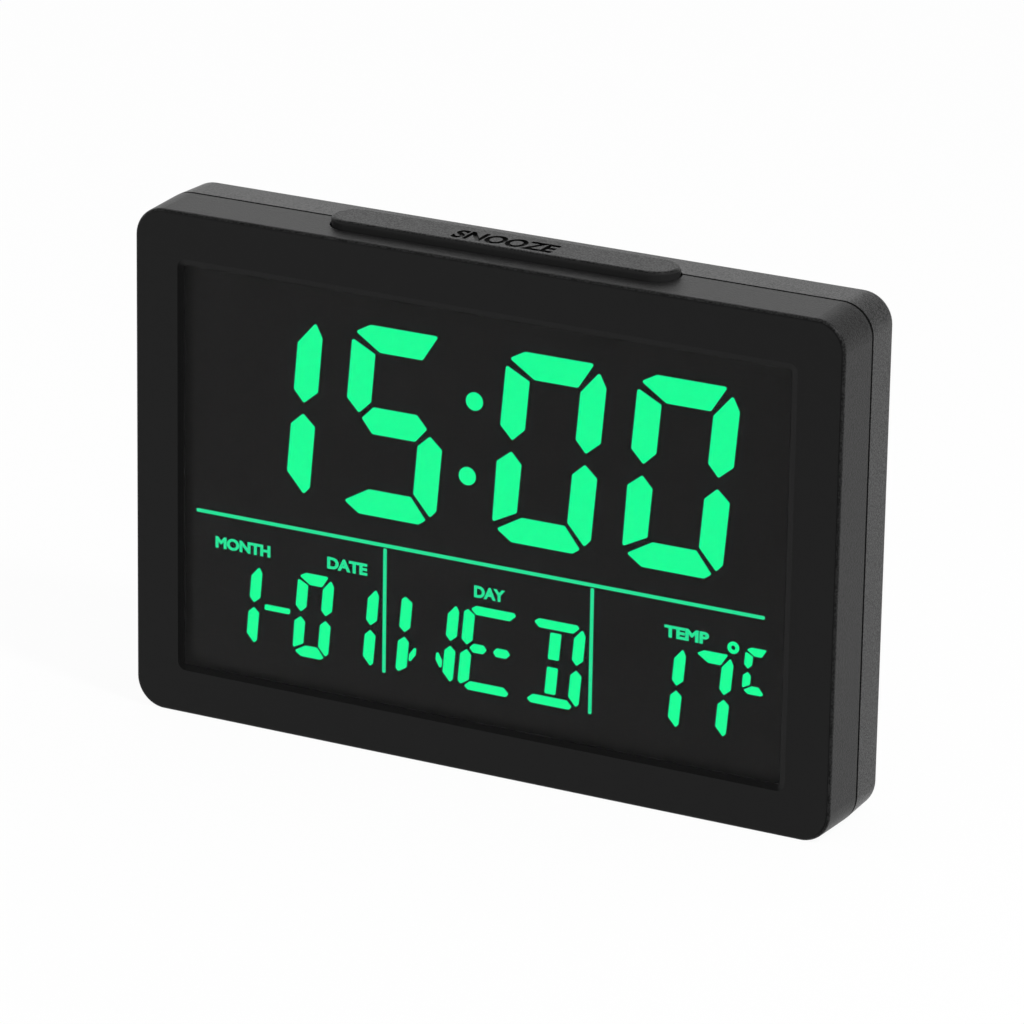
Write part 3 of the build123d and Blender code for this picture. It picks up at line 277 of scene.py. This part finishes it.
def grained_plastic(
    name, gloss, sparkle, axis=None, smooth_end=0.0, grain_start=0.0, smooth_black=SMOOTH_BLACK
):
    """Black plastic with a grain all over or, given an axis, smooth where it faces the other way.

    The smooth end and the start of the grain say how far the surface faces along the axis, from -1 to 1.
    """
    shade = new_material(name)
    lumps = noise(shade, GRAIN_SIZE, GRAIN_DETAIL, GRAIN_CRISPNESS)
    speckle = lumps.spread(SPECKLE_LOW, SPECKLE_HIGH)
    # Painted shade in the grain's pits and painted glints on its lumps.
    colour = speckle.blend(GRAIN_SHADOW, GRAIN_GLINT)
    roughness = GRAIN_ROUGHNESS + speckle * SPECKLE_ROUGHNESS
    coat = (COAT_LEAST + speckle * COAT_SPECKLE) * sparkle
    height = lumps
    if axis:
        normal = shade.node("ShaderNodeTexCoord", output="Normal")
        facing = shade.node("ShaderNodeSeparateXYZ", {}, {0: normal}, axis)
        grained = facing.spread(smooth_end, grain_start)
        colour = grained.blend(smooth_black, colour)
        roughness = SMOOTH_ROUGHNESS + grained * (roughness - SMOOTH_ROUGHNESS)
        coat = coat * grained
        height = lumps * grained
    bump = shade.node("ShaderNodeBump", {}, {"Strength": 1.0, "Distance": GRAIN_HEIGHT, "Height": height})
    surface = shade.node("ShaderNodeBsdfPrincipled", {}, {
        "Base Color": colour, "Roughness": roughness, "Specular IOR Level": gloss, "Normal": bump,
        "Coat Weight": coat, "Coat IOR": COAT_BEND, "Coat Roughness": COAT_ROUGHNESS,
    })
    end_material(shade, surface)


for name, look in CASE_PLASTICS.items():
    grained_plastic(name, **look)
print("made", list(CASE_PLASTICS))

# %% [markdown]
# ## Deep black
# Two surfaces are nearly black: the floors of the engraved letters and the print behind the lit areas of the
# display. The letter floors are smooth, because the mould's cutter leaves no grain, and their very dark
# colour is painted shade in the sunk letters. Pure black would look like a hole, so both are a very dark grey
# with a faint cloudiness, from one function.

# %% Deep black
DARK_CLOUD = grey(0.002)
LIGHT_CLOUD = grey(0.004)
DEEP_BLACKS = {
    # The letter floors' colour, darker than the plastic, is painted shade in the sunk letters; the mask is
    # black print.
    "letter_black": {"cloud_size": 2 * MM, "detail": 2.0, "roughness": 0.35, "gloss": 0.05},
    "mask_black": {"cloud_size": 40 * MM, "detail": 1.0, "roughness": 0.6, "gloss": 0.1},
}


def deep_black(name, cloud_size, detail, roughness, gloss):
    """A plain surface that is nearly black, slightly cloudy."""
    shade = new_material(name)
    clouds = noise(shade, cloud_size, detail)
    surface = shade.node("ShaderNodeBsdfPrincipled", {}, {
        "Base Color": clouds.blend(DARK_CLOUD, LIGHT_CLOUD),
        "Roughness": roughness,
        "Specular IOR Level": gloss,
    })
    end_material(shade, surface)


for name, look in DEEP_BLACKS.items():
    deep_black(name, **look)
print("made", list(DEEP_BLACKS))

# %% [markdown]
# ## The window and the clear layers
# The window is a clear sheet over a black display. Real glass bends light, but flat sheets hardly move what
# is behind them, so the sheet is a mix of a clear shader and a mirror, whose share grows as the sheet is seen
# at a slant. The films and the glass behind the window only tint what shows through them.

# %% Clear layers
LENS_BEND = 1.23
LENS_ROUGHNESS = 0.12
SMEAR_SIZE = 30 * MM
SMEAR_ROUGHNESS = 0.05
CLEAR_FILMS = {
    "display_glass": rgb(0.99, 1.0, 0.995),
    "polariser_film": grey(0.99),
}


def clear_sheet(name):
    """A flat sheet that shows what is behind it and mirrors a little."""
    shade = new_material(name)
    share = shade.node("ShaderNodeFresnel", {}, {"IOR": LENS_BEND})
    smears = noise(shade, SMEAR_SIZE)
    mirror = shade.node("ShaderNodeBsdfPrincipled", {}, {
        "Base Color": grey(1), "Metallic": 1.0, "Roughness": LENS_ROUGHNESS + smears * SMEAR_ROUGHNESS,
    })
    clear = shade.node("ShaderNodeBsdfTransparent")
    end_material(shade, shade.node("ShaderNodeMixShader", {}, {0: share, 1: clear, 2: mirror}))


def clear_film(name, colour):
    """A thin inner layer that only tints what is behind it."""
    shade = new_material(name)
    end_material(shade, shade.node("ShaderNodeBsdfTransparent", {}, {"Color": colour}))


clear_sheet("lens_clear")
for name, colour in CLEAR_FILMS.items():
    clear_film(name, colour)
print("made lens_clear and", list(CLEAR_FILMS))

# %% [markdown]
# ## The lit areas
# What shows through the window is the black print with the lit digits, letters and rules in front of it. A
# picture of them could be put on a plane, but they are solids already, so they only have to glow. They give
# off light themselves, with a faint cloudiness from the light guide. The rules are a little duller.

# %% Lit areas
GLOW_CLOUD_SIZE = 6 * MM
GLOW_CLOUD_DETAIL = 1.0
GLOW_DIMMEST = 0.97
GLOW_ROUGHNESS = 0.5
LIT_AREAS = {
    "lit_green": (0.0, 1.0, 0.32),
    "lit_rule": (0.01, 0.76, 0.31),
}


def lit_area(name, colour):
    """A part of the display that glows."""
    shade = new_material(name)
    clouds = noise(shade, GLOW_CLOUD_SIZE, GLOW_CLOUD_DETAIL)
    dimmer = [GLOW_DIMMEST * part for part in colour]
    surface = shade.node("ShaderNodeBsdfPrincipled", {}, {
        "Base Color": grey(0), "Roughness": GLOW_ROUGHNESS, "Specular IOR Level": 0.0,
        "Emission Color": clouds.blend(rgb(*dimmer), rgb(*colour)), "Emission Strength": 1.0,
    })
    end_material(shade, surface)


for name, colour in LIT_AREAS.items():
    lit_area(name, colour)
print("made", list(LIT_AREAS))

# %% [markdown]
# ## Plain inner pieces
# Inside, most pieces are plain mouldings or plated metal. Each could have a material of its own, but they
# differ only in colour and gloss, so one function makes them all from two lists. It adds a little cloudiness
# in colour and gloss, because no moulding or plating is quite even.

# %% Inner finishes
CLOUD_SIZE = 3 * MM
CLOUD_DETAIL = 3.0
CLOUD_SHADE = 0.86
CLOUD_ROUGHNESS = 0.1
PLAIN_MOULDINGS = {
    "seal_black": ((0.010, 0.010, 0.010), 0.5),
    "diffuser_white": ((0.85, 0.86, 0.85), 0.6),
    "guide_clear": ((0.80, 0.86, 0.84), 0.2),
    "frame_white": ((0.82, 0.82, 0.80), 0.5),
    "strip_board": ((0.75, 0.75, 0.70), 0.4),
    "led_body": ((0.70, 0.85, 0.45), 0.3),
    "zebra_rubber": ((0.50, 0.32, 0.33), 0.7),
    "board_green": ((0.03, 0.16, 0.06), 0.35),
    "chip_resin": ((0.012, 0.012, 0.013), 0.3),
    "chip_ceramic": ((0.30, 0.24, 0.18), 0.5),
    "buzzer_black": ((0.02, 0.02, 0.02), 0.45),
    "switch_black": ((0.03, 0.03, 0.03), 0.4),
    "plunger_white": ((0.70, 0.70, 0.66), 0.45),
    "lead_red": ((0.55, 0.03, 0.02), 0.4),
    "lead_black": ((0.015, 0.015, 0.015), 0.4),
}
PLATED_METALS = {
    "can_metal": ((0.62, 0.62, 0.60), 0.25),
    "contact_metal": ((0.70, 0.69, 0.66), 0.28),
    "screw_steel": ((0.30, 0.30, 0.30), 0.35),
}


def cloudy_finish(name, colour, roughness, metal):
    """A plain moulded or plated surface, slightly cloudy."""
    shade = new_material(name)
    clouds = noise(shade, CLOUD_SIZE, CLOUD_DETAIL)
    darker = [CLOUD_SHADE * part for part in colour]
    surface = shade.node("ShaderNodeBsdfPrincipled", {}, {
        "Base Color": clouds.blend(rgb(*darker), rgb(*colour)),
        "Roughness": roughness - CLOUD_ROUGHNESS / 2 + clouds * CLOUD_ROUGHNESS,
        "Metallic": metal,
    })
    end_material(shade, surface)


for finishes, metal in ((PLAIN_MOULDINGS, 0.0), (PLATED_METALS, 1.0)):
    for name, (colour, roughness) in finishes.items():
        cloudy_finish(name, colour, roughness, metal)
print("made", len(PLAIN_MOULDINGS), "mouldings and", len(PLATED_METALS), "metals")

# %% [markdown]
# ## The battery cells
# A cell is a steel can in a printed sleeve, and the steel shows at both ends. Two meshes could hold the two
# finishes, but each cell is one solid. The cells lie along X with their middles at the origin's X, so the
# distance from there decides which finish shows.

# %% Cell sleeve
CELL_END = 1.2 * MM
SLEEVE_EDGE = 0.12 * MM
SLEEVE_GREEN = rgb(0.05, 0.20, 0.12)
STEEL = grey(0.6)
CELL_ROUGHNESS = 0.35


def sleeved_cell(name):
    """A printed sleeve, with bare steel at both ends."""
    shade = new_material(name)
    place = shade.node("ShaderNodeTexCoord", output="Object")
    along = abs(shade.node("ShaderNodeSeparateXYZ", {}, {0: place}, "X"))
    sleeve_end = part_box("battery_cell_1")[1].x - CELL_END
    bare = along.spread(sleeve_end, sleeve_end + SLEEVE_EDGE)
    surface = shade.node("ShaderNodeBsdfPrincipled", {}, {
        "Base Color": bare.blend(SLEEVE_GREEN, STEEL), "Metallic": bare, "Roughness": CELL_ROUGHNESS,
    })
    end_material(shade, surface)


sleeved_cell("cell_sleeve")
print("made cell_sleeve")

# %% [markdown]
# ## Finishes on the solids
# The record names a finish for every solid, so one loop gives them all, and nothing is picked by hand. Other
# pieces don't mirror the lit areas, because the cut edge of the window would show a green spark that isn't
# there.

# %% Finishes
for part in frame["record"]["subparts"]:
    node = nodes[part["node"]]
    finish = part["material_slot"]
    for place in node.material_slots:
        place.material = materials[finish]
    node.visible_glossy = finish not in LIT_AREAS

# %% [markdown]
# ## Meshes and pieces
# A shape is worked on as a bmesh, kept as a mesh and shown by an object. These helpers go from one to the
# other, so that the steps below only say what they make. A finished piece also has to say which body it
# rides on, which finish it has and which solids it stands in for.

# %% Mesh helpers
MERGE_DISTANCE = 0.0005 * MM


def mesh_from(shape, name):
    """Turn a bmesh into a mesh and free it."""
    mesh = bpy.data.meshes.new(name)
    shape.to_mesh(mesh)
    shape.free()
    return mesh


def merged(mesh, name):
    """A copy of a mesh in which the vertices that share a place are one."""
    shape = bmesh.new()
    shape.from_mesh(mesh)
    bmesh.ops.remove_doubles(shape, verts=shape.verts, dist=MERGE_DISTANCE)
    return mesh_from(shape, name)


def joined(name, meshes):
    """Several meshes as one."""
    whole = bmesh.new()
    for mesh in meshes:
        whole.from_mesh(mesh)
    return mesh_from(whole, name)


def mesh_box(mesh):
    """Lowest and highest corner of a mesh."""
    places = [vertex.co for vertex in mesh.vertices]
    low = Vector(min(place[axis] for place in places) for axis in range(3))
    high = Vector(max(place[axis] for place in places) for axis in range(3))
    return low, high


def seen_mesh(holder):
    """The mesh of an object as it looks with its modifiers, or of a text as it is drawn. The object goes."""
    seen_holder = holder.evaluated_get(bpy.context.evaluated_depsgraph_get())
    mesh = bpy.data.meshes.new_from_object(seen_holder)
    bpy.data.objects.remove(holder)
    return mesh


def give(mesh, *finishes):
    """Put finishes into a mesh's list, in order."""
    for finish in finishes:
        mesh.materials.append(materials[finish])


def add_piece(name, mesh, body, replaced=()):
    """A finished mesh as a piece that rides on a body and hides the nodes it replaces."""
    piece = hold(mesh, name)
    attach(piece, body)
    if replaced:
        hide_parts(*replaced)
    print(name, "has", len(mesh.polygons), "faces")
    return piece


print("mesh helpers ready")

# %% [markdown]
# ## Words as meshes
# Text in Blender is a curve. To print it or cut it into a solid it has to become a closed mesh first. The
# font that comes with Blender has thin strokes, and the curve's own offset fills the narrow corners of an M.
# A bevel thickens the strokes without that fault, because the faces between the bevels keep the thin outline.

# %% Words
LETTER_CURVE_STEPS = 5
LETTER_EXTRUDE = 0.5


def word(text, width, height, thickness, weight):
    """A word as a closed mesh, centred on the origin and facing along Z. Weight is a share of the letters."""
    curve = bpy.data.curves.new(text, "FONT")
    curve.body = text
    curve.resolution_u = LETTER_CURVE_STEPS
    curve.extrude = LETTER_EXTRUDE
    curve.bevel_depth = weight
    curve.bevel_resolution = 0
    letters = merged(seen_mesh(hold(curve, text)), text)
    low, high = mesh_box(letters)
    size = high - low
    scale = Matrix.Diagonal((width / size.x, height / size.y, thickness / size.z, 1))
    letters.transform(scale @ Matrix.Translation(-(low + high) / 2))
    return letters


print("word helper ready")

# %% [markdown]
# ## Printed words of the display
# Small words over the lower row name its fields. They are part of the display's print and glow like the
# rules. Each has its measured width and its measured distances from the left end and the underside of the
# long rule, because that rule is a solid whose place is known.

# %% Words of the display
LABEL_HEIGHT = 2.4 * MM
LABEL_THICKNESS = 0.14 * MM
LABEL_WEIGHT = 0.042
LABELS = (
    ("MONTH", 10.33 * MM, 5.5 * MM, 12.2 * MM),
    ("DATE", 33.45 * MM, 5.35 * MM, 8.8 * MM),
    ("DAY", 64.4 * MM, 5.4 * MM, 6.6 * MM),
    ("TEMP", 106.2 * MM, 5.9 * MM, 9.3 * MM),
)
RULE_STROKE = 0.68 * MM

rule_low, rule_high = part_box("divider_lines")
rule_bottom = rule_high.z - RULE_STROKE
facing_front = Matrix.Rotation(math.radians(90), 4, "X")
labels = []
for text, along, drop, width in LABELS:
    label = word(text, width, LABEL_HEIGHT, LABEL_THICKNESS, LABEL_WEIGHT)
    place = Vector((rule_low.x + along, (rule_low.y + rule_high.y) / 2, rule_bottom - drop))
    label.transform(Matrix.Translation(place) @ facing_front)
    labels.append(label)
display_words = joined("display_words", labels)
give(display_words, "lit_rule")
add_piece("display_words", display_words, "case").visible_glossy = False

# %% [markdown]
# ## Engraving
# The bar on top and the rear cover carry words that were cut into the mould. A solid's mesh arrives as loose
# triangles, so a copy of it is merged before a Boolean sinks the words into it. The copy then stands in for
# the solid. Faces that come from the words keep the second material: smooth, because the mould's cutter
# leaves no grain, and darker than the plastic, which is painted shade in the sunk letters. Curved edges are
# shaded smooth, and weighted normals keep the large flat faces flat.

# %% Engraving helper
SMOOTH_ANGLE = math.radians(30)
FLAT_ANGLE = math.radians(0.2)
# The second material of the cut letters: its dark colour is painted shade in the sunk letters.
LETTER_SHADE = "letter_black"


def engraved(node, words, finish):
    """A merged copy of a solid's mesh in a finish, with words cut out of it."""
    holder = hold(merged(nodes[node].data, node), node)
    give(holder.data, finish, LETTER_SHADE)
    give(words, finish, LETTER_SHADE)
    words.polygons.foreach_set("material_index", [1] * len(words.polygons))
    cutter = hold(words, "cutter")
    cut = holder.modifiers.new("cut", "BOOLEAN")
    cut.operation = "DIFFERENCE"
    cut.solver = "EXACT"
    cut.use_self = True
    cut.object = cutter
    shape = bmesh.new()
    shape.from_mesh(seen_mesh(holder))
    bpy.data.objects.remove(cutter)
    bmesh.ops.dissolve_limit(shape, angle_limit=FLAT_ANGLE, verts=shape.verts, edges=shape.edges)
    solid = mesh_from(shape, node)
    give(solid, finish, LETTER_SHADE)
    solid.shade_smooth()
    solid.set_sharp_from_angle(angle=SMOOTH_ANGLE)
    holder = hold(solid, node)
    holder.modifiers.new("flats", "WEIGHTED_NORMAL").keep_sharp = True
    return seen_mesh(holder)


print("engraving helper ready")

# %% [markdown]
# ## The word on the bar
# The long bar on top has one word, a little right of its middle and nearer to its front. A printed word would
# lie on the surface, but this one looks moulded in, so it is sunk. Half of the word's thickness is below the
# top of the bar, and the other half cuts only air.

# %% Bar
BAR_WORD_WIDTH = 21.4 * MM
BAR_WORD_HEIGHT = 5.2 * MM
BAR_WORD_RIGHT = 0.6 * MM
BAR_WORD_FORWARD = 0.7 * MM
BAR_WORD_DEPTH = 0.5 * MM
BAR_WORD_WEIGHT = 0.04

bar_low, bar_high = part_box("snooze_button")
bar_word = word("SNOOZE", BAR_WORD_WIDTH, BAR_WORD_HEIGHT, 2 * BAR_WORD_DEPTH, BAR_WORD_WEIGHT)
bar_middle = (bar_low + bar_high) / 2
bar_place = Vector((bar_middle.x + BAR_WORD_RIGHT, bar_middle.y - BAR_WORD_FORWARD, bar_high.z))
bar_word.transform(Matrix.Translation(bar_place))
bar = engraved("snooze_button", bar_word, "bar_black")
add_piece("snooze_bar", bar, "snooze_button", ["snooze_button"])

# %% [markdown]
# ## The words on the back
# Each rear key has its name above it. The names could be cut one after the other, but joined into one mesh
# they need a single Boolean. They read from behind, so a word's X runs along the clock's -X, its Y up and its
# Z out of the back.

# %% Rear cover
KEY_NAMES = ("mode", "set", "up", "down", "alarm")
KEY_WORD_HEIGHT = 2.6 * MM
KEY_WORD_RISE = 6.2 * MM
KEY_WORD_DEPTH = 0.45 * MM
KEY_WORD_WEIGHT = 0.03
KEY_LETTER_RATIO = 0.95

facing_back = Matrix(((-1, 0, 0, 0), (0, 0, 1, 0), (0, 1, 0, 0), (0, 0, 0, 1)))
cover_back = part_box("rear_cover")[1].y
key_words = []
for name in KEY_NAMES:
    low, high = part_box("key_" + name)
    width = len(name) * KEY_WORD_HEIGHT * KEY_LETTER_RATIO
    key_word = word(name.upper(), width, KEY_WORD_HEIGHT, 2 * KEY_WORD_DEPTH, KEY_WORD_WEIGHT)
    place = Vector(((low.x + high.x) / 2, cover_back, (low.z + high.z) / 2 + KEY_WORD_RISE))
    key_word.transform(Matrix.Translation(place) @ facing_back)
    key_words.append(key_word)
cover = engraved("rear_cover", joined("key_words", key_words), "cover_black")
add_piece("lettered_cover", cover, "case", ["rear_cover"])

# %% [markdown]
# ## The floor
# The studio is a white floor, a white surround and two lamps. To the camera, all that is plain white. A lit
# matt floor would be grey in places, so this one mostly glows by itself for the camera, and what is left of
# the matt white takes a little of the clock's shadow. Mirrors look through the floor to the surround.

# %% Floor
FLOOR_SIZE = 6.0
FLOOR_WHITE = grey(0.85)
FLOOR_GLOW = 0.95


def light_path(shade, ray):
    """1 for rays of one kind, such as the camera's, and 0 for all others."""
    return shade.node("ShaderNodeLightPath", output=f"Is {ray} Ray")


def seen_directly(shade):
    """1 for what the camera sees, also through something clear, and 0 for all other light."""
    return light_path(shade, "Camera") + light_path(shade, "Transmission")


floor_shape = bmesh.new()
bmesh.ops.create_grid(floor_shape, x_segments=1, y_segments=1, size=FLOOR_SIZE / 2)
floor_mesh = mesh_from(floor_shape, "floor")
shade = new_material("floor_white")
matt = shade.node("ShaderNodeBsdfDiffuse", {}, {"Color": FLOOR_WHITE})
glow = shade.node("ShaderNodeEmission", {}, {"Color": grey(1), "Strength": 1.0})
clear = shade.node("ShaderNodeBsdfTransparent")
white = shade.node("ShaderNodeMixShader", {}, {0: seen_directly(shade) * FLOOR_GLOW, 1: matt, 2: glow})
floor = shade.node("ShaderNodeMixShader", {}, {0: light_path(shade, "Glossy"), 1: white, 2: clear})
end_material(shade, floor)
give(floor_mesh, "floor_white")
hold(floor_mesh, "floor")
print("floor is", FLOOR_SIZE, "m wide")

# %% [markdown]
# ## The surround
# A glossy black thing shows what it mirrors. In the photograph the front mirrors something bright at its
# lower left, while edges that are turned up or to the right are dark. Real white cards could stand there, but
# they would show in other views. So the surround itself is bright for mirrors behind the clock and at its
# lower left, dimmer at the upper right, and dark elsewhere. A side is a direction from the clock, and a range
# says between which cosines to it the brightness changes.

# %% Surround
SURROUND_LIGHT = 0.6
DARK_MIRRORED = 0.03
BEHIND_SIDE = (0.0, 1.0, 0.0)
BEHIND_RANGE = (-0.4, 0.3)
BRIGHT_SIDE = (-0.75, -0.35, -0.56)
BRIGHT_RANGE = (0.62, 0.74)
DIM_SIDE = (0.6, 0.0, 0.8)
DIM_RANGE = (0.2, 0.5)
DIMMING = 0.4

world = bpy.data.worlds.new("studio")
world.use_nodes = True
world.node_tree.nodes.clear()
sky = Shade(world.node_tree)
direction = sky.node("ShaderNodeTexCoord", output="Generated")


def turned_to(side, limits):
    """How far a direction of the surround is turned to one side, from 0 to 1."""
    cosine = sky.node("ShaderNodeVectorMath", {"operation": "DOT_PRODUCT"}, {0: direction, 1: side}, "Value")
    return cosine.spread(*limits)


bright_behind = turned_to(BEHIND_SIDE, BEHIND_RANGE) * (1 - DIMMING * turned_to(DIM_SIDE, DIM_RANGE))
bright = sky.maths("MAXIMUM", bright_behind, turned_to(BRIGHT_SIDE, BRIGHT_RANGE))
mirrored = DARK_MIRRORED + (1 - DARK_MIRRORED) * bright
seen = seen_directly(sky)
glossy = light_path(sky, "Glossy")
strength = seen + glossy * mirrored + (1 - seen - glossy) * SURROUND_LIGHT
background = sky.node("ShaderNodeBackground", {}, {"Color": grey(1), "Strength": strength})
sky.node("ShaderNodeOutputWorld", {}, {"Surface": background})
bpy.context.scene.world = world
print("surround has", len(world.node_tree.nodes), "nodes")

# %% [markdown]
# ## The lamps
# A small lamp at the upper right gives the edges their glints, and a large weak one behind lifts the top.
# A lamp shines along its own -Z, so its Z axis is turned to point from the clock to the lamp. That needs no
# constraint, which would tie the lamp to another object.

# %% Lamps
LAMPS = {
    "key": {"side": (0.65, -0.24, 0.75), "distance": 1.0, "size": 0.12, "power": 6.0},
    "behind": {"side": (-0.5, 0.6, 0.6), "distance": 1.2, "size": 1.0, "power": 1.0},
}


def soft_lamp(name, side, distance, size, power):
    """A square lamp that shines at the clock from one side."""
    lamp = bpy.data.lights.new(name, "AREA")
    lamp.size = size
    lamp.energy = power
    holder = hold(lamp, name)
    outwards = Vector(side).normalized()
    centre = (Vector(cad_box[0]) + Vector(cad_box[1])) / 2
    holder.location = centre + outwards * distance
    holder.rotation_euler = outwards.to_track_quat("Z", "Y").to_euler()


for name, lamp in LAMPS.items():
    soft_lamp(name, **lamp)
print("lamps:", list(LAMPS))
